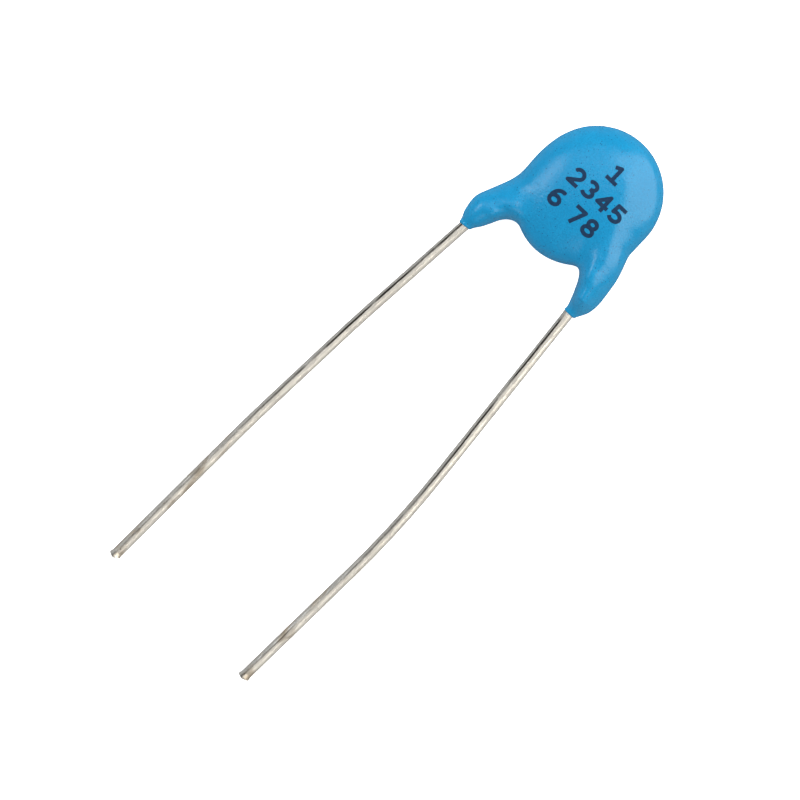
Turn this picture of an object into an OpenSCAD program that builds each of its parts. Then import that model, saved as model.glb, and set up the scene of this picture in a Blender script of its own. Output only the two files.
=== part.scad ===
// Leaded ceramic disc capacitor, dip-coated, lying on a flat surface as it comes to rest.
// The parts are laid out in the disc's own frame: origin at the disc's centre, +X towards the
// front lead, +Y away from the leads, +Z out of the marked face. lie_down() then tips the whole
// capacitor back until the coating and the longer lead's end touch the plane Z = 0.

/* [Ceramic disc] */
// Diameter of the fired ceramic
ceramic_d = 6.3; // [5:0.1:7]
// Thickness of the fired ceramic
ceramic_t = 1; // [0.5:0.05:1.4]
// Radius of its tumbled edge
ceramic_edge_r = 0.15; // [0.05:0.05:0.2]

/* [Silver electrodes] */
// Bare rim left between each silver film and the edge of the ceramic
film_margin = 0.45; // [0.3:0.05:0.8]
// Thickness of each film
film_t = 0.03; // [0.02:0.01:0.06]

/* [Leads] */
// Diameter of the tinned wire
wire_d = 0.6; // [0.5:0.05:0.7]
// Distance between the two wires at the seating line
pitch = 7.5; // [6.5:0.1:8.5]
// Distance from the ceramic's rim down to the seating line
seat_gap = 3.45; // [3:0.05:4]
// How far the pair of wires sits off the disc's centre line
pair_shift = -0.27; // [-0.5:0.01:0.5]
// Length of the front wire below the seating line
front_length = 25.9; // [22:0.1:40]
// Length of the back wire below the seating line
back_length = 25.95; // [22:0.1:40]
// Outward slant of the front wire where it leaves the coating, in degrees
front_splay = 4.9; // [0:0.1:8]
// Outward slant of the back wire where it leaves the coating, in degrees
back_splay = 5; // [0:0.1:8]
// Distance from the seating line to the middle of the front wire's long bend
front_straight = 14; // [10:0.5:18]
// Turn of that bend, back towards the other wire, in degrees
front_turn = 7.3; // [4:0.1:10]
// Distance from the seating line to the back wire's first long bend
back_straight = 7.5; // [6:0.5:9]
// Distance from the seating line to its second long bend
back_second = 15.5; // [14:0.5:18]
// How far that second bend stands in from the line of the first stretch
back_bow = 0.22; // [0.1:0.02:0.4]
// How far the back wire's free end lies outside the place where the wire leaves the coating
back_reach = 1.45; // [1.2:0.05:1.8]
// How deep each wire is pressed into a flat where it lies on its film
wire_press = 0.03; // [0.01:0.01:0.08]
// Distance from the edge of a film in to the end of the wire that lies on it
wire_inset = 1.13; // [0.9:0.05:1.4]
// Inner radius of the bends that bring each wire from its film down to the disc's mid plane
wire_bend = 1.2; // [0.9:0.1:1.4]

/* [Cut ends] */
// How far the cutter spreads the end of a wire, on each side
end_flare = 0.045; // [0.02:0.005:0.08]
// Length of the spread part
end_length = 0.4; // [0.3:0.05:0.6]
// Slant of the two facets that the cutter leaves on the front wire, in degrees
front_cut = [12, 24];
// Slant of the two facets on the back wire
back_cut = [20, 36];

/* [Solder] */
// Height of the solder above the top of the wire
solder_cover = 0.08; // [0.05:0.01:0.15]
// Thickness of the solder beside the top of the wire
solder_lip = 0.03; // [0.02:0.01:0.08]
// Width of the solder on the film
solder_w = 1.7; // [1.2:0.1:2]
// Length of the solder along the wire
solder_length = 3.2; // [2:0.1:3.4]
// How far the solder runs past the end of the wire
solder_past = 0.35; // [0.2:0.05:0.6]

/* [Coating] */
// Thickness of the coating round the ceramic's rim
rim_cover = 0.5; // [0.4:0.05:0.7]
// Thickness of the coating over each face of the ceramic, at the centre
face_cover = 1.2; // [1.1:0.05:1.5]
// Distance from the ceramic's rim down to the lowest point of the sag between the legs
sag_run = 1.4; // [1.1:0.05:1.6]
// Radius of the sag's rounded edge
sag_r = 3; // [2.6:0.1:3.2]
// How far the sag hangs off the disc's centre line
sag_shift = -0.4; // [-0.8:0.05:0]
// How far the sag stands out beyond each face of the ceramic
sag_cover = 0.65; // [0.4:0.05:0.8]
// Distance from the ceramic's rim down to the end of the front leg
front_leg_run = 2.65; // [2.4:0.05:3]
// Distance from the ceramic's rim down to the end of the back leg
back_leg_run = 3.15; // [2.9:0.05:3.3]
// Thickness of the coating over a wire, before it blends with the disc
ridge_cover = 0.3; // [0.26:0.02:0.4]
// Thickness of the coating where it feathers out on the wire
feather = 0.07; // [0.04:0.01:0.12]
// Number of sections that the skin is built from
skin_sections = 100; // [60:10:120]
// Number of points round each section
skin_points = 48; // [32:4:56]

/* [Hidden] */
$fn = 48;

// ---- Shared places -------------------------------------------------------------------------

ceramic_r = ceramic_d / 2;
film_d = ceramic_d - 2 * film_margin;
wire_r = wire_d / 2;
film_face = ceramic_t / 2 + film_t;          // outer face of each film
wire_z = film_face + wire_r - wire_press;    // axis of a wire where it lies on its film
joint = 0.01;                                // overlap of a bend with the straights it joins
bend_r = wire_r - 0.002;                     // a bent stretch is drawn a hair thinner

seat_drop = ceramic_r + seat_gap;            // from the disc's centre to the seating line
front_exit = [pair_shift + pitch / 2, -seat_drop, 0];
back_exit = [pair_shift - pitch / 2, -seat_drop, 0];
front_way = [sin(front_splay), -cos(front_splay), 0];
back_way = [-sin(back_splay), -cos(back_splay), 0];

// Each wire lies on its film from an end inside it to a corner outside the ceramic's rim, which
// are placed by their bearing from the disc's centre, in degrees. Then it slants down to the
// disc's mid plane and joins its exit line a little above the seating line.
wire_end_r = film_d / 2 - wire_inset;
wire_corner_r = ceramic_r + 0.4;             // clear of the ceramic, inside the skin
front_bearings = [62, -42];
back_bearings = [123, -140];
front_join = 2.3;                            // how far above the seating line the front wire joins
back_join = 1.9;
front_sweep = 56;                            // radius of the front wire's long bend
back_sweep = 90;                             // radius of the back wire's two long bends

// Corners of each wire, from the end on its film to its free end, and the bend radius at each.
front_path = [
    at(wire_end_r, front_bearings[0], wire_z),
    at(wire_corner_r, front_bearings[1], wire_z),
    on_line(front_exit, front_way, -front_join),
    on_line(front_exit, front_way, front_straight),
    free_end(front_exit, front_way, front_straight, -front_turn, front_length)
];
front_bends = [wire_bend, wire_bend, front_sweep];

back_path = [
    at(wire_end_r, back_bearings[0], -wire_z),
    at(wire_corner_r, back_bearings[1], -wire_z),
    on_line(back_exit, back_way, -back_join),
    on_line(back_exit, back_way, back_straight),
    on_line(back_exit, back_way, back_second) + [back_bow, 0, 0],
    back_exit + [-back_reach, -back_length, 0]
];
back_bends = [wire_bend, wire_bend, back_sweep, back_sweep];

function at(r, bearing, z) = [r * cos(bearing), r * sin(bearing), z];
function on_line(start, way, run) = start + way * run;

// End of a wire that turns by `turn` degrees after `run`, at `length` below the start.
function free_end(start, way, run, turn, length) =
    let (corner = on_line(start, way, run),
         a = atan2(way[1], way[0]) + turn,
         left = length + corner[1] - start[1])
    corner + [cos(a), sin(a), 0] * (left / abs(sin(a)));

// ---- Coating: the dipped skin as one blended form --------------------------------------------

coat_r = ceramic_r + rim_cover;
coat_h = ceramic_t / 2 + face_cover;
front_leg = ceramic_r + front_leg_run;       // from the disc's centre to each leg's end
back_leg = ceramic_r + back_leg_run;
sag_drop = ceramic_r + sag_run;

// Widths over which the forms melt into each other
sag_melt = 0.5;
ridge_melt = 0.7;
back_melt = 0.87;
front_melt = 0.65;
crotch_melt = 0.08;
// The front leg's melt narrows to crotch_melt over crotch_fade, from crotch_rise above its end
crotch_rise = 3.9;
crotch_fade = 1.6;

// Blends two distances into one surface, over a width k.
function melt(a, b, k) = let (h = max(k - abs(a - b), 0) / k) min(a, b) - h * h * k / 4;

// Distance from a lens of radius r and half thickness h. Its shoulders are fuller than those of
// an ellipse, whose exponent is 2.
shoulder = 2.3;
function lens(p, c, r, h) =
    let (u = norm([p[0] - c[0], p[1] - c[1]]) / r, v = abs(p[2] - c[2]) / h)
    (pow(pow(u, shoulder) + pow(v, shoulder), 1 / shoulder) - 1) * h;

// Distance from a round bar of radius r from a to b.
function bar(p, a, b, r) =
    let (t = min(max(((p - a) * (b - a)) / ((b - a) * (b - a)), 0), 1)) norm(p - a - t * (b - a)) - r;

// Ridge that the coating raises over the first two stretches of a wire.
function ridge(p, path) =
    let (r = wire_r + ridge_cover) min(bar(p, path[0], path[1], r), bar(p, path[1], path[2], r));

// Where a wire passes a height y: [x, z].
function wire_at(path, y, i = 0) =
    y >= path[i + 1][1] || i == 2
    ? let (a = path[i], b = path[i + 1], t = (y - a[1]) / (b[1] - a[1]), q = a + t * (b - a)) [q[0], q[2]]
    : wire_at(path, y, i + 1);

// A leg's stations: [y, x, z, radius], from its root in the disc down to its end. Each row of
// form is [height above the end, step out from the wire, share of the wire's depth, radius].
function leg_stations(path, side, end, form) = [
    for (f = form)
        let (y = f[0] - end, w = wire_at(path, y))
        [y, w[0] + side * f[1], w[1] * f[2], f[3]]
];
front_leg_stations = leg_stations(front_path, 1, front_leg, [
    [4.6, 0.4, 0.15, 0.9],
    [3.4, 0.38, 0.35, 0.98],
    [2.2, 0.36, 0.5, 0.81],
    [1.3, 0.2, 0.8, 0.78],
    [0.7, 0.2, 1, 0.63],
    [0.3, 0.13, 1, 0.46],
    [0, 0.03, 1, wire_r + feather]
]);
back_leg_stations = leg_stations(back_path, -1, back_leg, [
    [5.5, 0.5, 0.25, 0.6],
    [3.9, -0.08, 0.4, 0.7],
    [2.7, -0.35, 0.6, 1],
    [1.8, -0.12, 0.8, 0.76],
    [1.1, -0.04, 1, 0.67],
    [0.6, 0, 1, 0.58],
    [0.25, 0, 1, 0.41],
    [0, 0, 1, wire_r + feather]
]);

// Smooth curve through the stations s at height y: [x, z, radius].
function station(s, y, i = 0) =
    i < len(s) - 2 && y < s[i + 1][0] ? station(s, y, i + 1)
    : let (a = s[max(i - 1, 0)], b = s[i], c = s[i + 1], d = s[min(i + 2, len(s) - 1)],
           h = c[0] - b[0], t = (y - b[0]) / h,
           mb = (c - a) / (c[0] - a[0]) * h, mc = (d - b) / (d[0] - b[0]) * h,
           q = b * (1 + t * t * (2 * t - 3)) + mb * (t * (1 - t) * (1 - t))
             + c * (t * t * (3 - 2 * t)) + mc * (t * t * (t - 1)))
      [q[1], q[2], q[3]];

function leg(p, s) =
    let (top = s[0][0], y = min(max(p[1], s[len(s) - 1][0]), top), q = station(s, y))
    norm([p[0] - q[0], p[2] - q[1], max(p[1] - top, 0)]) - q[2];

// The front leg keeps a sharp crotch against the sag, and melts into the disc above it.
function skin(p) =
    let (sharp = min(max((crotch_rise - front_leg - p[1]) / crotch_fade, 0), 1),
         disc = lens(p, [0, 0, 0], coat_r, coat_h),
         sag = lens(p, [sag_shift, sag_r - sag_drop, 0], sag_r, ceramic_t / 2 + sag_cover),
         ridges = min(ridge(p, front_path), ridge(p, back_path)),
         body = melt(melt(disc, sag, sag_melt), ridges, ridge_melt),
         with_back = melt(body, leg(p, back_leg_stations), back_melt))
    melt(with_back, leg(p, front_leg_stations), front_melt + (crotch_melt - front_melt) * sharp);

// The sections fan out round this upright line, which lies in the gap between the legs, from
// just past the front leg's end to the back leg's end.
fan_x = sag_shift / 2;
fan_y = -front_leg - 0.1;
fan_start = 0.5;
fan_end = 180 + atan2(back_leg + fan_y, fan_x - back_exit[0]);
fan_reach = 11;                              // from that line to beyond the far side of the skin
thickest = 2.4;                              // more than half the thickness of the skin anywhere

function fan_point(a, u) = [fan_x + u * cos(a), fan_y + u * sin(a), 0];

// Where the skin crosses the line c + t d, for t between lo and hi, whose values are f_lo and
// f_hi. Halving steps and straight-line steps take turns.
function edge(c, d, lo, hi, f_lo, f_hi, n) =
    let (t = n % 2 == 0 ? (lo * f_hi - hi * f_lo) / (f_hi - f_lo) : (lo + hi) / 2)
    n == 0 ? t :
    let (f = skin(c + t * d))
    (f < 0) == (f_lo < 0) ? edge(c, d, t, hi, f, f_hi, n - 1) : edge(c, d, lo, t, f_lo, f, n - 1);
function cast(c, d, lo, hi, n = 8) = edge(c, d, lo, hi, skin(c + lo * d), skin(c + hi * d), n);

// First crossing along a section's middle line, from u on, in steps of du.
function first_in(a, u, du) =
    skin(fan_point(a, u)) < 0
    ? cast(fan_point(a, 0), [cos(a), sin(a), 0], u - du, u)
    : first_in(a, u + du, du);

// Points round the skin in the upright plane at angle a. They are aimed from the section's middle
// at an ellipse of its own width and height, so they spread evenly round a flat section too.
function section(a) =
    let (inner = first_in(a, 0.4, 0.2), outer = first_in(a, fan_reach, -0.3),
         c = fan_point(a, (inner + outer) / 2),
         side = [cos(a), sin(a), 0] * (outer - inner) / 2,
         up = [0, 0, cast(c, [0, 0, 1], 0, thickest, 6)])
    [for (j = [0 : skin_points - 1])
        let (w = 360 * j / skin_points, d = cos(w) * side + sin(w) * up)
        c + d * cast(c, d, 0, 1.9)];

skin_rings = [for (i = [0 : skin_sections]) section(fan_start + (fan_end - fan_start) * i / skin_sections)];

// ---- Resting position ------------------------------------------------------------------------

end_chamfer = 0.06;                          // bevel round the cut face of a wire
front_tip = front_path[len(front_path) - 1];
back_tip = back_path[len(back_path) - 1];

// Lowest point of the skin when the part is tipped back by an angle.
function skin_low(tip) = min([for (ring = skin_rings) for (p = ring) p[1] * sin(tip) + p[2] * cos(tip)]);
// Lowest point of the longer wire's spread end at the same angle.
function tip_low(tip) =
    (min(front_tip[1], back_tip[1]) + 2 * end_chamfer) * sin(tip) - (wire_r + end_flare) * cos(tip);

// The angle at which the skin and the longer wire touch the same plane, found by halving.
function rest_angle(lo = 0, hi = 8, n = 14) =
    let (mid = (lo + hi) / 2)
    n == 0 ? mid : tip_low(mid) > skin_low(mid) ? rest_angle(mid, hi, n - 1) : rest_angle(lo, mid, n - 1);

lie = rest_angle();
middle_x = (front_path[3][0] + back_tip[0]) / 2;
middle_y = (coat_r + min(front_tip[1], back_tip[1])) / 2;

module lie_down() {
    translate([-middle_x, -middle_y, -skin_low(lie)]) rotate([lie, 0, 0]) children();
}

// ---- Pieces ----------------------------------------------------------------------------------

module ceramic_shape() {
    flat = ceramic_r - ceramic_edge_r;
    rotate_extrude() difference() {
        translate([0, -ceramic_t / 2]) square([ceramic_r, ceramic_t]);
        for (s = [-1, 1])
            translate([flat, s > 0 ? ceramic_t / 2 - ceramic_edge_r : -ceramic_t / 2])
                difference() {
                    square([ceramic_edge_r, ceramic_edge_r]);
                    translate([0, s > 0 ? 0 : ceramic_edge_r]) circle(ceramic_edge_r);
                }
    }
}

module film_shape() {
    translate([0, 0, ceramic_t / 2]) cylinder(d = film_d, h = film_t);
}

// Turns the Z axis to the direction d.
module aim(d) {
    rotate([0, acos(d[2] / norm(d)), atan2(d[1], d[0])]) children();
}

// A straight stretch of wire from a to b.
module straight(a, b) {
    translate(a) aim(b - a) cylinder(r = wire_r, h = norm(b - a));
}

// A bend of radius r at corner v, between the directions d0 and d1.
module bend(v, d0, d1, r) {
    turn = acos(d0 * d1);
    inward = (d1 - d0 * (d0 * d1)) / norm(d1 - d0 * (d0 * d1));
    centre = v - d0 * r * tan(turn / 2) + inward * r;
    axis = cross(d0, inward);
    over = joint / r * 180 / PI;
    multmatrix([for (k = [0 : 2]) [-inward[k], d0[k], axis[k], centre[k]]])
        rotate([0, 0, -over]) rotate_extrude(angle = turn + 2 * over) translate([r, 0]) circle(bend_r);
}

function unit(v) = v / norm(v);
function slack(path, radii, i) =
    i == 0 || i == len(path) - 1 ? 0
    : radii[i - 1] * tan(acos(unit(path[i] - path[i - 1]) * unit(path[i + 1] - path[i])) / 2);

module wire(path, radii) {
    last = len(path) - 1;
    for (i = [0 : last - 1]) {
        d = unit(path[i + 1] - path[i]);
        straight(path[i] + d * slack(path, radii, i), path[i + 1] - d * slack(path, radii, i + 1));
    }
    for (i = [1 : last - 1])
        bend(path[i], unit(path[i] - path[i - 1]), unit(path[i + 1] - path[i]), radii[i - 1]);
}

// Everything above the two facets of a cut end, which meet in an upright ridge at the origin.
module cut_away(slants) {
    for (s = [0, 1])
        rotate([(1 - 2 * s) * slants[s], 0, 0]) translate([-wire_d, -2 * wire_d, 0])
            cube([2 * wire_d, 4 * wire_d, wire_d]);
}

// The end of a wire that runs to the origin along Z, spread by the cutter: it widens to a rim and
// is bevelled in from there to the cut.
module spread_end() {
    wide = wire_r + end_flare;
    rotate_extrude() polygon([
        [0, -end_length], [wire_r - joint, -end_length], [wide, -2 * end_chamfer],
        [wide - end_chamfer, 0], [0, 0]
    ]);
}

// The whole wire: a flat where it is pressed on its film, and a cut end. The flat ends just past
// the ceramic's rim, before the wire's first bend.
module pressed_wire(path, radii, side, cut) {
    last = len(path) - 1;
    tip = path[last];
    way = tip - path[last - 1];
    stop = tip - unit(way) * (end_length - 2 * joint);   // just inside the spread end
    difference() {
        union() {
            wire([for (i = [0 : last]) i < last ? path[i] : stop], radii);
            translate(tip) aim(way) spread_end();
        }
        mirror([0, 0, side < 0 ? 1 : 0]) cylinder(r = ceramic_r + 0.05, h = film_face);
        translate(tip) aim(way) cut_away(cut);
    }
}

module front_wire() { pressed_wire(front_path, front_bends, 1, front_cut); }
module back_wire() { pressed_wire(back_path, back_bends, -1, back_cut); }

// Solder along the wire on its film, hollow on both sides and clipped to the film.
module solder_shape(path, side) {
    past = unit([for (k = [0, 1]) path[0][k] - path[1][k]]);
    far = [path[0][0], path[0][1]] + past * solder_past;
    top = wire_z + wire_r + solder_cover;
    hollow = solder_w / 2 - wire_r - solder_lip;
    mirror([0, 0, side < 0 ? 1 : 0]) intersection() {
        translate([far[0], far[1], 0]) rotate([90, 0, atan2(past[1], past[0]) - 90])
            linear_extrude(solder_length) difference() {
                translate([-solder_w / 2, film_face]) square([solder_w, top - film_face]);
                for (s = [-1, 1]) translate([s * solder_w / 2, top]) circle(hollow);
            }
        translate([0, 0, film_face]) cylinder(d = film_d, h = top);
    }
}

module front_solder() { difference() { solder_shape(front_path, 1); front_wire(); } }
module back_solder() { difference() { solder_shape(back_path, -1); back_wire(); } }

module skin_shape() {
    n = skin_points;
    last = skin_sections;
    polyhedron(
        points = [for (ring = skin_rings) each ring],
        faces = [
            [for (j = [0 : n - 1]) j],
            for (i = [0 : last - 1]) for (j = [0 : n - 1])
                let (k = (j + 1) % n, a = i * n, b = a + n)
                each [[a + j, b + j, b + k], [a + j, b + k, a + k]],
            [for (j = [n - 1 : -1 : 0]) last * n + j]
        ]
    );
}

// ---- Nodes -----------------------------------------------------------------------------------

module ceramic_disc() { color("#B9A58A") lie_down() ceramic_shape(); }
module electrode_front() { color("#C9CACB") lie_down() film_shape(); }
module electrode_back() { color("#C9CACB") lie_down() mirror([0, 0, 1]) film_shape(); }
module solder_front() { color("#A9ABAD") lie_down() front_solder(); }
module solder_back() { color("#A9ABAD") lie_down() back_solder(); }
module lead_front() { color("#D3D0C8") lie_down() front_wire(); }
module lead_back() { color("#D3D0C8") lie_down() back_wire(); }

module coating() {
    color("#3A9FD6") lie_down() difference() {
        skin_shape();
        ceramic_shape();
        film_shape();
        mirror([0, 0, 1]) film_shape();
        solder_shape(front_path, 1);
        solder_shape(back_path, -1);
        front_wire();
        back_wire();
    }
}

ceramic_disc();
electrode_front();
electrode_back();
solder_front();
solder_back();
lead_front();
lead_back();
coating();
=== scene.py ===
"""Looks of a leaded ceramic disc capacitor: ceramic, silver, solder, wires, dip coating and print."""

import math

import bmesh
import bpy
import numpy as np
from mathutils import Matrix, Vector, noise
from mathutils.bvhtree import BVHTree


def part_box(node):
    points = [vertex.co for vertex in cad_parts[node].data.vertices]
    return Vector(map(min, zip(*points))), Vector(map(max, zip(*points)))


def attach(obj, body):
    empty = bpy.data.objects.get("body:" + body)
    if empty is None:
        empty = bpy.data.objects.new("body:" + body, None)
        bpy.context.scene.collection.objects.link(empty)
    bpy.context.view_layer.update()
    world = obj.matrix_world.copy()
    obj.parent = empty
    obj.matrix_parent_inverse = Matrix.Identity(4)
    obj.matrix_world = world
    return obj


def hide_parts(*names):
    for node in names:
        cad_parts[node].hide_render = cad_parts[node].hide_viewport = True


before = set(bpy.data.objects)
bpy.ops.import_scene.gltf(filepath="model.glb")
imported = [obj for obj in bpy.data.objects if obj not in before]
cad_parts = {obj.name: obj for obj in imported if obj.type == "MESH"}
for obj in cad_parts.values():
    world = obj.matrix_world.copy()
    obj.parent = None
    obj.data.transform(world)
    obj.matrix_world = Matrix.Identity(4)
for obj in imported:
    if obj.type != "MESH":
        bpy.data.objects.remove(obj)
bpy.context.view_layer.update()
MM = 0.001  # a millimetre in metres


# ---- Ceramic disc --------------------------------------------------------------------------------
# The dielectric: a pressed and fired titanate disc, tan and matt, with the fine grain and dark
# specks of sintered powder. It sits in the middle of the coating and carries both silver films.


def add(tree, kind, inputs=(), **settings):
    """Adds a node. Inputs are (socket, value) pairs, and a value may be another node's output."""
    node = tree.nodes.new(kind)
    for name, value in settings.items():
        setattr(node, name, value)
    for socket, value in inputs:
        if isinstance(value, bpy.types.NodeSocket):
            tree.links.new(value, node.inputs[socket])
        else:
            node.inputs[socket].default_value = value
    return node


def math_node(tree, operation, *values):
    return add(tree, "ShaderNodeMath", enumerate(values), operation=operation).outputs[0]


def spread(tree, value, low, high, to_low=0.0, to_high=1.0):
    """Smoothly takes low..high to to_low..to_high."""
    ranges = [("From Min", low), ("From Max", high), ("To Min", to_low), ("To Max", to_high)]
    node = add(tree, "ShaderNodeMapRange", [("Value", value), *ranges], interpolation_type="SMOOTHSTEP")
    return node.outputs["Result"]


def tint(tree, mask, base, colour):
    """Lays a colour over a base where the mask is."""
    node = add(tree, "ShaderNodeMix", data_type="RGBA")
    for socket, value in (("Factor_Float", mask), ("A_Color", base), ("B_Color", colour)):
        target = next(s for s in node.inputs if s.identifier == socket)
        if isinstance(value, bpy.types.NodeSocket):
            tree.links.new(value, target)
        else:
            target.default_value = value
    return next(s for s in node.outputs if s.identifier == "Result_Color")


def new_group(name, inputs, outputs):
    """A shader node group with float inputs and their usual values. Returns its tree and two ends."""
    tree = bpy.data.node_groups.new(name, "ShaderNodeTree")
    for socket, value in inputs:
        item = tree.interface.new_socket(socket, in_out="INPUT", socket_type="NodeSocketFloat")
        item.default_value = value
    for socket in outputs:
        tree.interface.new_socket(socket, in_out="OUTPUT", socket_type="NodeSocketFloat")
    return tree, tree.nodes.new("NodeGroupInput").outputs, tree.nodes.new("NodeGroupOutput")


def scaled_place(tree, size, stretch):
    """Object coordinates in units of size millimetres, drawn out along Y by stretch."""
    place = add(tree, "ShaderNodeTexCoord").outputs["Object"]
    per_size = math_node(tree, "DIVIDE", 1 / MM, size)
    along = math_node(tree, "DIVIDE", per_size, stretch)
    scale = add(tree, "ShaderNodeCombineXYZ", [("X", per_size), ("Y", along), ("Z", per_size)])
    scaled = add(tree, "ShaderNodeVectorMath", [(0, place), (1, scale.outputs[0])], operation="MULTIPLY")
    return scaled.outputs[0]


def make_mottle():
    """Cloudy variation, used for uneven colour, gloss and height on every material."""
    tree, given, out = new_group("mottle", [("Size", 1.0), ("Stretch", 1.0), ("Detail", 2.0)], ["Mask"])
    place = scaled_place(tree, given["Size"], given["Stretch"])
    cloud = add(tree, "ShaderNodeTexNoise", [("Vector", place), ("Scale", 1.0), ("Detail", given["Detail"])])
    tree.links.new(spread(tree, cloud.outputs["Fac"], 0.28, 0.72), out.inputs["Mask"])
    return tree


def make_specks():
    """Round specks or pits: one in some of the cells, each of its own size."""
    tree, given, out = new_group("specks", [("Size", 1.0), ("Share", 0.3), ("Radius", 0.15)], ["Mask"])
    place = scaled_place(tree, given["Size"], 1.0)
    cells = add(tree, "ShaderNodeTexVoronoi", [("Vector", place), ("Scale", 1.0)])
    chance = add(tree, "ShaderNodeSeparateColor", [("Color", cells.outputs["Color"])])
    there = math_node(tree, "LESS_THAN", chance.outputs["Red"], given["Share"])
    grown = math_node(tree, "MULTIPLY_ADD", chance.outputs["Green"], 0.8, 0.4)
    radius = math_node(tree, "MULTIPLY", grown, given["Radius"])
    ratio = math_node(tree, "DIVIDE", cells.outputs["Distance"], radius)
    disc = spread(tree, ratio, 1.0, 0.35)
    tree.links.new(math_node(tree, "MULTIPLY", disc, there), out.inputs["Mask"])
    return tree


mottle_group = make_mottle()
specks_group = make_specks()


def place_group(tree, group, **values):
    """Places an effect in a material with its own values and returns its mask."""
    node = add(tree, "ShaderNodeGroup", node_tree=group)
    for socket, value in values.items():
        node.inputs[socket].default_value = value
    return node.outputs["Mask"]


def mottle(tree, size, stretch=1.0, detail=2.0):
    return place_group(tree, mottle_group, Size=size, Stretch=stretch, Detail=detail)


def specks(tree, size, share, radius):
    return place_group(tree, specks_group, Size=size, Share=share, Radius=radius)


def new_material(name, **shader_values):
    """A material with its Principled shader. Returns the material, its tree and the shader."""
    material = bpy.data.materials.new(name)
    material.use_nodes = True
    shader = material.node_tree.nodes["Principled BSDF"]
    for socket, value in shader_values.items():
        shader.inputs[socket.replace("_", " ")].default_value = value
    return material, material.node_tree, shader


def relief(tree, shader, height, depth):
    """Turns a height mask into the shader's normal. Depth is in millimetres."""
    bump = add(tree, "ShaderNodeBump", [("Height", height), ("Distance", depth * MM)])
    tree.links.new(bump.outputs["Normal"], shader.inputs["Normal"])


def dress(node, material):
    """Gives a CAD node its material."""
    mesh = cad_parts[node].data
    mesh.materials.clear()
    mesh.materials.append(material)


def ceramic_material():
    material, tree, shader = new_material("fired_ceramic", Roughness=0.75)
    brown, tan, dark_speck = (0.42, 0.31, 0.20, 1), (0.52, 0.41, 0.28, 1), (0.20, 0.14, 0.09, 1)
    colour = tint(tree, mottle(tree, size=0.6), brown, tan)
    colour = tint(tree, specks(tree, size=0.12, share=0.35, radius=0.3), colour, dark_speck)
    tree.links.new(colour, shader.inputs["Base Color"])
    relief(tree, shader, mottle(tree, size=0.05, detail=3.0), depth=0.01)
    return material


dress("ceramic_disc", ceramic_material())


# ---- Silver electrodes ---------------------------------------------------------------------------
# Silver paste printed on each face of the ceramic and fired on: a thin, matt, nearly white film
# with the weave of the printing screen left in it and a few yellowed patches.


def silver_material():
    material, tree, shader = new_material("fired_silver", Metallic=1.0)
    white_silver, yellowed = (0.78, 0.77, 0.75, 1), (0.66, 0.62, 0.54, 1)
    colour = tint(tree, mottle(tree, size=1.5), white_silver, yellowed)
    tree.links.new(colour, shader.inputs["Base Color"])
    tree.links.new(spread(tree, mottle(tree, size=0.3), 0, 1, 0.4, 0.6), shader.inputs["Roughness"])
    relief(tree, shader, mottle(tree, size=0.08, detail=1.0), depth=0.006)
    return material


fired_silver = silver_material()
for film in ("electrode_front", "electrode_back"):
    dress(film, fired_silver)


# ---- Solder --------------------------------------------------------------------------------------
# Dip solder that wets the silver and climbs both sides of each wire. It set with a dull, grainy
# skin, and brown flux stays in its hollows.


def solder_material():
    material, tree, shader = new_material("dip_solder", Metallic=1.0)
    light_grey, dull_grey, flux_brown = (0.60, 0.60, 0.61, 1), (0.44, 0.44, 0.46, 1), (0.30, 0.19, 0.08, 1)
    flux = spread(tree, mottle(tree, size=0.9), 0.55, 0.9)
    colour = tint(tree, mottle(tree, size=0.25), light_grey, dull_grey)
    colour = tint(tree, flux, colour, flux_brown)
    tree.links.new(colour, shader.inputs["Base Color"])
    tree.links.new(spread(tree, mottle(tree, size=0.15), 0, 1, 0.22, 0.45), shader.inputs["Roughness"])
    relief(tree, shader, mottle(tree, size=0.12, detail=3.0), depth=0.012)
    return material


dip_solder = solder_material()
for joint in ("solder_front", "solder_back"):
    dress(joint, dip_solder)


# ---- Leads ---------------------------------------------------------------------------------------
# Two drawn steel-cored wires, hot tinned: soft silver, a little warm, with draw lines and small
# tin lumps along them. Handling has left brown tarnish, mostly on the half near the cut ends.


def painted_light_bands(tree, around, to_end):
    """Painted light round a wire: a painted highlight band on its upper side, and a painted dark reflection
    line between that and the flank in painted shade.
    """
    border_start, border_wander, border_drift = -0.52, 0.1, 0.2  # across the wire, which is -1 to 1
    facing = add(tree, "ShaderNodeSeparateXYZ", [(0, around)])
    wander = mottle(tree, size=0.5, stretch=6.0)
    border = math_node(tree, "MULTIPLY_ADD", wander, border_wander, border_start)
    border = math_node(tree, "MULTIPLY_ADD", to_end, border_drift, border)
    past = math_node(tree, "SUBTRACT", facing.outputs["X"], border)
    upper = spread(tree, facing.outputs["Z"], 0.0, 0.3)
    painted_dark_reflection = spread(tree, math_node(tree, "ABSOLUTE", past), 0.24, 0.1)
    before_far_edge = spread(tree, facing.outputs["X"], 0.95, 0.75)
    painted_highlight_band = math_node(tree, "MULTIPLY", spread(tree, past, -0.05, 0.05), before_far_edge)
    return painted_highlight_band, math_node(tree, "MULTIPLY", painted_dark_reflection, upper)


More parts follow.
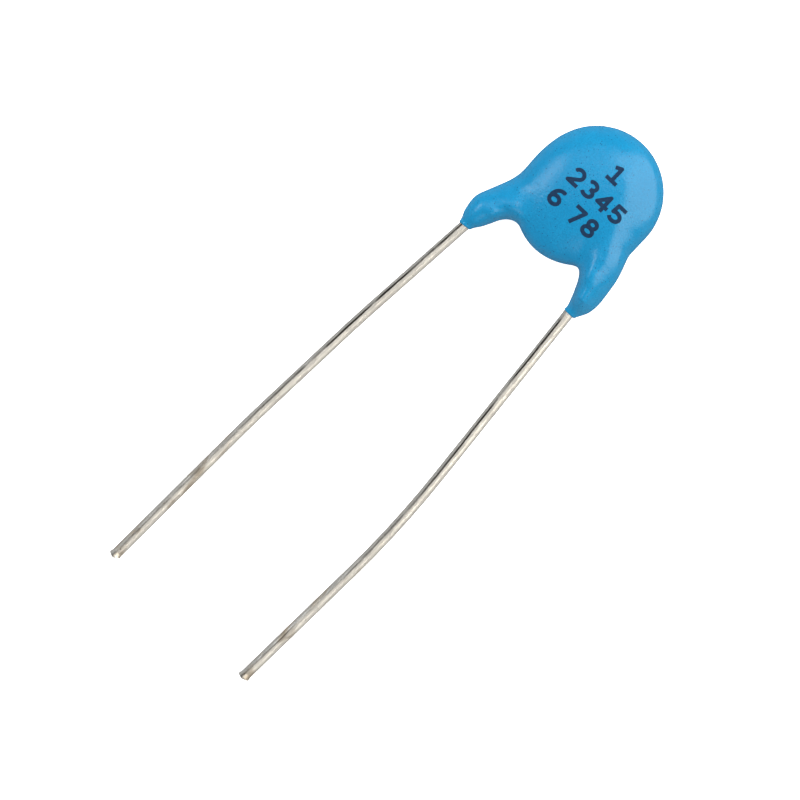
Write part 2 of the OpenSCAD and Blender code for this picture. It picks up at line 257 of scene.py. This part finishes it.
def tin_material():
    material, tree, shader = new_material("tinned_wire", Metallic=0.65)
    low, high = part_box("lead_back")
    coordinates = add(tree, "ShaderNodeTexCoord").outputs
    place = add(tree, "ShaderNodeSeparateXYZ", [(0, coordinates["Object"])])
    to_end = spread(tree, place.outputs["Y"], high.y, low.y)
    lines = mottle(tree, size=0.05, stretch=30.0, detail=2.0)
    lumps = mottle(tree, size=0.35, stretch=3.0, detail=2.0)
    stains = mottle(tree, size=0.5, stretch=3.0, detail=4.0)
    tarnish = math_node(tree, "MULTIPLY", stains, spread(tree, to_end, 0.5, 1, 0.55, 1.0))
    # painted light, set by the way each point of the wire faces: a painted highlight band and a painted dark
    # reflection line
    painted_highlight_band, painted_dark_reflection = painted_light_bands(tree, coordinates["Normal"], to_end)
    # the painted dark reflection line comes and goes along the wire and weakens towards the cut ends
    patchy = spread(tree, mottle(tree, size=0.5, stretch=4.0, detail=3.0), 0.0, 0.6, 0.55, 1.0)
    fading = math_node(tree, "MULTIPLY", patchy, spread(tree, to_end, 0.4, 1.0, 1.0, 0.65))
    painted_dark_reflection = math_node(tree, "MULTIPLY", painted_dark_reflection, fading)
    # one tin in a shaded and a lit copy: painted shade on the flank, painted highlight on the upper band
    painted_shade_tin, painted_highlight_tin, line_grey = (0.52, 0.52, 0.50, 1), (0.94, 0.90, 0.82, 1), (0.56, 0.53, 0.48, 1)
    stain_brown, dark_speck = (0.42, 0.35, 0.26, 1), (0.16, 0.11, 0.07, 1)
    # the near black of the painted dark reflection line
    painted_reflection_black = (0.012, 0.01, 0.008, 1)
    colour = tint(tree, painted_highlight_band, painted_shade_tin, painted_highlight_tin)
    colour = tint(tree, math_node(tree, "MULTIPLY", lines, 0.5), colour, line_grey)
    colour = tint(tree, spread(tree, tarnish, 0.45, 1.0, 0.0, 0.8), colour, stain_brown)
    colour = tint(tree, specks(tree, size=0.3, share=0.25, radius=0.16), colour, dark_speck)
    colour = tint(tree, painted_dark_reflection, colour, painted_reflection_black)
    tree.links.new(colour, shader.inputs["Base Color"])
    tree.links.new(spread(tree, lumps, 0, 1, 0.2, 0.32), shader.inputs["Roughness"])
    relief(tree, shader, math_node(tree, "MULTIPLY_ADD", lines, 0.3, lumps), depth=0.012)
    return material


tinned = tin_material()
for lead in ("lead_front", "lead_back"):
    dress(lead, tinned)


# ---- Dip coating ---------------------------------------------------------------------------------
# Blue epoxy that the soldered disc was dipped in: a full lens over the ceramic, drawn out into a
# leg down each wire. The CAD skin is refined into a smooth surface with a faint orange peel, and
# the disc, solder and wires are cut out of it, so that it stays a shell around them.


sharp_edge = math.radians(60)  # where the outside turns into the end of a leg
any_angle = 3.1  # nearly a half turn: triangles are joined whatever their angles


def welded_mesh(node):
    """A CAD node's mesh as a bmesh, with its faces joined at their corners."""
    form = bmesh.new()
    form.from_mesh(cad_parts[node].data)
    bmesh.ops.remove_doubles(form, verts=form.verts, dist=1e-8)
    return form


def outer_skin(node):
    """The outside of a CAD solid up to its sharp edges, closed and joined to quads: no cavity."""
    skin = welded_mesh(node)
    skin.faces.ensure_lookup_table()
    seen = {max(skin.faces, key=lambda face: face.calc_center_median().z)}
    queue = list(seen)
    while queue:
        face = queue.pop()
        for edge in face.edges:
            if len(edge.link_faces) == 2 and edge.calc_face_angle() < sharp_edge:
                fresh = [near for near in edge.link_faces if near not in seen]
                seen.update(fresh)
                queue.extend(fresh)
    bmesh.ops.delete(skin, geom=[face for face in skin.faces if face not in seen], context="FACES")
    bmesh.ops.holes_fill(skin, edges=[edge for edge in skin.edges if edge.is_boundary])
    bmesh.ops.join_triangles(
        skin, faces=skin.faces, angle_face_threshold=any_angle, angle_shape_threshold=any_angle
    )
    return skin


def orange_peel(place):
    """Height of the coating's small waves at a point, in metres."""
    fine_size, fine_height = 0.3, 0.0025  # in millimetres
    broad_size, broad_height = 1.1, 0.008
    shift = Vector((7, 3, 5))  # so that the two patterns don't line up
    fine = noise.noise(place / (fine_size * MM))
    broad = noise.noise(place / (broad_size * MM) + shift)
    return (fine_height * fine + broad_height * broad) * MM


# Where the coating ran thick on the upper side of the legs, from the ceramic's middle, in millimetres:
# place along X and Y, reach along X and Y, and height. Two lie on the front wire, two on the back.
SWELLS = [
    (2.9, -3.8, 0.9, 0.9, 0.55),
    (3.4, -5.0, 0.6, 0.8, 0.5),
    (-2.8, -3.7, 0.4, 0.4, 0.1),
    (-3.25, -4.7, 0.4, 0.35, 0.15),
]
disc_low, disc_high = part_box("ceramic_disc")
disc_middle = (disc_low + disc_high) / 2
leg_end = -5.8  # along Y, from the ceramic's middle, in millimetres
swell_foot, swell_top = 1.5 * MM, 2.0 * MM  # heights over the floor between which the swells come in


def swell(place):
    """How much the thick runs raise the coating at a point, in metres."""
    away = (place - disc_middle) / MM
    total = 0.0
    for x, y, reach_x, reach_y, height in SWELLS:
        total += height * MM * math.exp(-(((away.x - x) / reach_x) ** 2) - ((away.y - y) / reach_y) ** 2)
    above_foot = min(max((place.z - swell_foot) / (swell_top - swell_foot), 0.0), 1.0)
    before_leg_end = min(max(away.y - leg_end, 0.0), 1.0)
    return total * above_foot * before_leg_end


def apply_modifier(piece, kind, **settings):
    """Adds one modifier to a piece and applies it."""
    modifier = piece.modifiers.new(kind.lower(), kind)
    for name, value in settings.items():
        setattr(modifier, name, value)
    with bpy.context.temp_override(object=piece, active_object=piece, selected_objects=[piece]):
        bpy.ops.object.modifier_apply(modifier=modifier.name)


def new_piece(name, form, smooth=True):
    """A mesh object from a bmesh."""
    mesh = bpy.data.meshes.new(name)
    form.to_mesh(mesh)
    form.free()
    mesh.polygons.foreach_set("use_smooth", [smooth] * len(mesh.polygons))
    piece = bpy.data.objects.new(name, mesh)
    bpy.context.scene.collection.objects.link(piece)
    return piece


def closed_copy(node):
    """A closed copy of a CAD node, to cut with."""
    return new_piece("cutter_" + node, welded_mesh(node))


def combine(piece, tool, operation):
    """Joins a tool to a piece or cuts it out of it, and removes the tool."""
    apply_modifier(piece, "BOOLEAN", operation=operation, solver="MANIFOLD", object=tool)
    bpy.data.objects.remove(tool)


def epoxy_material():
    material, tree, shader = new_material("blue_epoxy", IOR=1.6)
    deep_blue, sky_blue = (0.003, 0.208, 0.425, 1), (0.004, 0.232, 0.46, 1)
    grain_blue, speck_blue = (0.003, 0.185, 0.38, 1), (0.002, 0.08, 0.18, 1)
    # the dark inside of the pinholes is painted shade
    pinhole_shade_blue = (0.004, 0.03, 0.08, 1)
    colour = tint(tree, mottle(tree, size=2.5), deep_blue, sky_blue)
    colour = tint(tree, mottle(tree, size=0.09, detail=1.0), colour, grain_blue)
    colour = tint(tree, specks(tree, size=0.15, share=0.6, radius=0.28), colour, speck_blue)
    # pinholes: small dents in the relief, painted dark inside as painted shade
    pinholes_with_painted_shade = specks(tree, size=1.1, share=0.3, radius=0.07)
    colour = tint(tree, pinholes_with_painted_shade, colour, pinhole_shade_blue)
    tree.links.new(colour, shader.inputs["Base Color"])
    tree.links.new(spread(tree, mottle(tree, size=0.5), 0, 1, 0.2, 0.27), shader.inputs["Roughness"])
    grain = mottle(tree, size=0.12, detail=2.0)
    height = math_node(tree, "SUBTRACT", grain, math_node(tree, "MULTIPLY", pinholes_with_painted_shade, 4.0))
    relief(tree, shader, height, depth=0.004)
    return material


def coating_piece():
    """The refined skin with its waves and thick runs, before the inner pieces are cut out of it."""
    piece = new_piece("dip_coating", outer_skin("coating"))
    apply_modifier(piece, "SUBSURF", levels=2)
    mesh = piece.data
    waved = [
        vertex.co + vertex.normal * orange_peel(vertex.co) + Vector((0, 0, swell(vertex.co)))
        for vertex in mesh.vertices
    ]
    mesh.vertices.foreach_set("co", [value for place in waved for value in place])
    mesh.update()
    return piece


coating = coating_piece()
skin_tree = BVHTree.FromPolygons(
    [vertex.co[:] for vertex in coating.data.vertices], [face.vertices[:] for face in coating.data.polygons]
)
core = closed_copy("ceramic_disc")
for kind in ("electrode", "solder", "lead"):
    for side in ("front", "back"):
        combine(core, closed_copy(f"{kind}_{side}"), "UNION")
combine(coating, core, "DIFFERENCE")
coating.data.materials.clear()
coating.data.materials.append(epoxy_material())
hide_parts("coating")
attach(coating, "root")


# ---- Printed numerals ----------------------------------------------------------------------------
# Three short lines of dark ink stamped on the marked face by a soft pad: plain numerals of even
# stroke. The ink is a film a few thousandths thick that follows the curve of the coating.

cap_height = 1.06 * MM
half_stroke = 0.105  # half a stroke's width, as a share of the numeral's height
advance = 0.99 * MM  # from one numeral to the next
line_step = 1.54 * MM
marking_drop = 0.16 * MM  # from the ceramic's middle down to the middle line
ink_thickness = 0.006 * MM


def arc(x, y, rx, ry, start, end, count=12):
    """Points on an ellipse round (x, y), from one angle to another in degrees."""
    turns = [math.radians(start + (end - start) * i / count) for i in range(count + 1)]
    return [(x + rx * math.cos(turn), y + ry * math.sin(turn)) for turn in turns]


# Strokes of each numeral in a box 0.8 wide and 1 high
NUMERALS = {
    "1": [[(0.12, 0.76), (0.44, 0.91), (0.44, 0.1)], [(0.06, 0.105), (0.78, 0.105)]],
    "2": [arc(0.4, 0.65, 0.28, 0.255, 165, -38) + [(0.1, 0.105), (0.74, 0.105)]],
    "3": [arc(0.37, 0.7, 0.26, 0.2, 150, -90), arc(0.37, 0.3, 0.3, 0.205, 90, -150)],
    "4": [[(0.56, 0.0), (0.56, 0.9), (0.1, 0.32), (0.8, 0.32)]],
    "5": [[(0.7, 0.895), (0.18, 0.895), (0.14, 0.5)] + arc(0.37, 0.33, 0.3, 0.235, 110, -150)],
    "6": [arc(0.54, 0.42, 0.43, 0.485, 75, 180), arc(0.4, 0.32, 0.285, 0.225, 0, 360, 20)],
    "7": [[(0.06, 0.895), (0.69, 0.895), (0.31, 0.0)]],
    "8": [arc(0.4, 0.71, 0.235, 0.195, 0, 360, 20), arc(0.4, 0.3, 0.29, 0.205, 0, 360, 20)],
}


def stroke_distance(points, line):
    """Distance of many points from a stroke with square ends, below zero inside."""
    best = np.full(len(points), np.inf)
    closed = line[0] == line[-1]
    for i in range(len(line) - 1):
        a, b = np.array(line[i]), np.array(line[i + 1])
        length = np.linalg.norm(b - a)
        along = (points - a) @ (b - a) / length
        across = np.abs((points - a) @ np.array([a[1] - b[1], b[0] - a[0]]) / length)
        past = np.maximum(-along, along - length)
        round_end = np.hypot(across, np.maximum(past, 0)) - half_stroke
        square_end = np.maximum(across - half_stroke, past)
        first = (i == 0) & (along < 0) & (not closed)
        last = (i == len(line) - 2) & (along > length) & (not closed)
        best = np.minimum(best, np.where(first | last, square_end, round_end))
    return best


def numeral_sheet(sign, cell=0.028, margin=0.06):
    """Flat grid of a numeral's inside, with its edge points moved onto the outline."""
    columns, rows = int((0.8 + 2 * margin) / cell), int((1 + 2 * margin) / cell)

    def grid(count_x, count_y, shift):
        """Points in rows from the bottom, moved on by a share of a cell."""
        points = [((i + shift) * cell, (j + shift) * cell) for j in range(count_y) for i in range(count_x)]
        return np.array(points) - margin

    def distance(points):
        return np.min([stroke_distance(points, line) for line in NUMERALS[sign]], axis=0)

    spots = grid(columns + 1, rows + 1, 0)
    inside = distance(grid(columns, rows, 0.5)).reshape(rows, columns) < 0
    above = columns + 1  # from a spot's number to that of the spot above it
    firsts = [j * above + i for j in range(rows) for i in range(columns) if inside[j, i]]
    corners = [[first, first + 1, first + 1 + above, first + above] for first in firsts]
    count = np.zeros(len(spots), int)
    for face in corners:
        count[face] += 1
    edge = (count > 0) & (count < 4)
    step = 1e-4
    for _ in range(3):  # Newton's steps towards the outline, each held within the cell
        here = distance(spots)
        rises = [distance(spots + d) - distance(spots - d) for d in ((step, 0), (0, step))]
        slope = np.stack(rises, 1) / (2 * step)
        size = np.maximum((slope**2).sum(1), 0.3)
        move = np.clip(here / size, -0.7 * cell, 0.7 * cell)[:, None] * slope
        spots = np.where(edge[:, None], spots - move, spots)
    return spots, corners


def stamp(form, sign, left, base):
    """Adds a numeral's ink film to a bmesh, lying on the coating."""
    spots, corners = numeral_sheet(sign)
    used = sorted({k for face in corners for k in face})
    high, low = {}, {}
    for k in used:
        x, y = left + spots[k][0] * cap_height, base + spots[k][1] * cap_height
        place, normal, _, _ = skin_tree.ray_cast(Vector((x, y, 10 * MM)), Vector((0, 0, -1)))
        high[k] = form.verts.new(place + normal * ink_thickness)
        low[k] = form.verts.new(place - normal * ink_thickness)
    seams = {}
    for face in corners:
        form.faces.new([high[k] for k in face])
        form.faces.new([low[k] for k in reversed(face)])
        for a, b in zip(face, face[1:] + face[:1]):
            if (b, a) in seams:
                del seams[(b, a)]
            else:
                seams[(a, b)] = True
    for a, b in seams:
        form.faces.new([high[b], high[a], low[a], low[b]])


def ink_material():
    material, tree, shader = new_material("stamp_ink", Roughness=0.6, Specular_IOR_Level=0.1)
    thick_ink, thin_ink = (0.008, 0.026, 0.062, 1), (0.012, 0.034, 0.078, 1)
    colour = tint(tree, mottle(tree, size=0.12, detail=3.0), thick_ink, thin_ink)
    tree.links.new(colour, shader.inputs["Base Color"])
    relief(tree, shader, mottle(tree, size=0.06), depth=0.002)
    return material


def marking_piece():
    """All the numerals as one piece."""
    form = bmesh.new()
    # each line: its numerals with their places in advances, its step sideways and its row
    lines = [
        ([("1", 0)], 0.10, 1),
        ([("2", -1.5), ("3", -0.5), ("4", 0.5), ("5", 1.5)], 0.14, 0),
        ([("6", -1.25), ("7", 0.25), ("8", 1.25)], -0.18, -1),
    ]
    for signs, aside, row in lines:
        for sign, slot in signs:
            left = disc_middle.x + aside * MM + slot * advance - 0.4 * cap_height
            base = disc_middle.y - marking_drop + row * line_step - cap_height / 2
            stamp(form, sign, left, base)
    return new_piece("printed_numerals", form, smooth=False)


marking = marking_piece()
marking.data.materials.append(ink_material())
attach(marking, "root")


# ---- Floor, light and camera ---------------------------------------------------------------------
# The part lies on a plain white table. Softboxes stand at its right, left and near side, with a
# wide one overhead, and the camera looks straight down on it through a long lens.


def floor_piece():
    table_reach, table_glow = 0.6, 0.9
    form = bmesh.new()
    bmesh.ops.create_grid(form, x_segments=1, y_segments=1, size=table_reach)
    floor = new_piece("floor", form)
    material, tree, shader = new_material("white_table", Roughness=0.8)
    colour = tint(tree, mottle(tree, size=40.0), (0.86, 0.86, 0.86, 1), (0.88, 0.88, 0.88, 1))
    tree.links.new(colour, shader.inputs["Base Color"])
    shader.inputs["Emission Color"].default_value = (1, 1, 1, 1)
    shader.inputs["Emission Strength"].default_value = table_glow
    floor.data.materials.append(material)
    return floor


floor = floor_piece()
floor.visible_glossy = False  # its glow would pale the reflections in the sides

camera_turn = math.radians(43.48)  # about the vertical: the leads run to the camera's lower left


def softbox(name, bearing, height, distance, aside, width, depth, brightness, colour=(1, 1, 1)):
    """A soft area light of even brightness. Its bearing is in degrees round from the camera's right,
    its height in degrees over the floor, and aside moves it along its own level side, in metres."""
    light = bpy.data.lights.new(name, "AREA")
    light.shape = "RECTANGLE"
    light.size, light.size_y = width, depth
    light.energy, light.color = brightness * math.pi * width * depth, colour
    level = camera_turn + math.radians(bearing)
    slope = math.radians(height)
    flat = math.cos(slope)
    outward = Vector((math.cos(level) * flat, math.sin(level) * flat, math.sin(slope)))
    side = Vector((-math.sin(level), math.cos(level), 0))
    lamp = bpy.data.objects.new(name, light)
    lamp.location = outward * distance + side * aside
    lamp.rotation_euler = Matrix((side, outward.cross(side), outward)).transposed().to_euler()
    bpy.context.scene.collection.objects.link(lamp)
    return lamp


warm_white = (1.0, 0.95, 0.85)
softbox(
    "softbox_right", 12.8, 38, 0.70, aside=-0.14, width=1.0, depth=0.94, brightness=1.85, colour=warm_white
)
softbox("softbox_left", 155, 45, 0.60, aside=0, width=0.34, depth=0.14, brightness=2.7)
softbox("softbox_near", -85, 42, 0.60, aside=0, width=0.4, depth=0.2, brightness=0.9)
ceiling = softbox("ceiling", 96, 68, 0.90, aside=0, width=0.7, depth=0.7, brightness=6.2)
ceiling.visible_glossy = False  # it lights the top without a glint of its own

world = bpy.data.worlds.new("studio")
world.use_nodes = True
world.node_tree.nodes["Background"].inputs["Color"].default_value = (1, 1, 1, 1)
world.node_tree.nodes["Background"].inputs["Strength"].default_value = 0.2
bpy.context.scene.world = world
bpy.context.scene.view_settings.view_transform = "Standard"

camera = bpy.data.objects.new("camera", bpy.data.cameras.new("camera"))
camera_height = 0.6
view_width = 0.0436
view_middle = (0.000397, -0.00109)
camera.data.lens = camera.data.sensor_width * camera_height / view_width
camera.data.clip_start = 0.01
camera.location = (*view_middle, camera_height)
camera.rotation_euler = (0, 0, camera_turn)
bpy.context.scene.collection.objects.link(camera)
bpy.context.scene.camera = camera
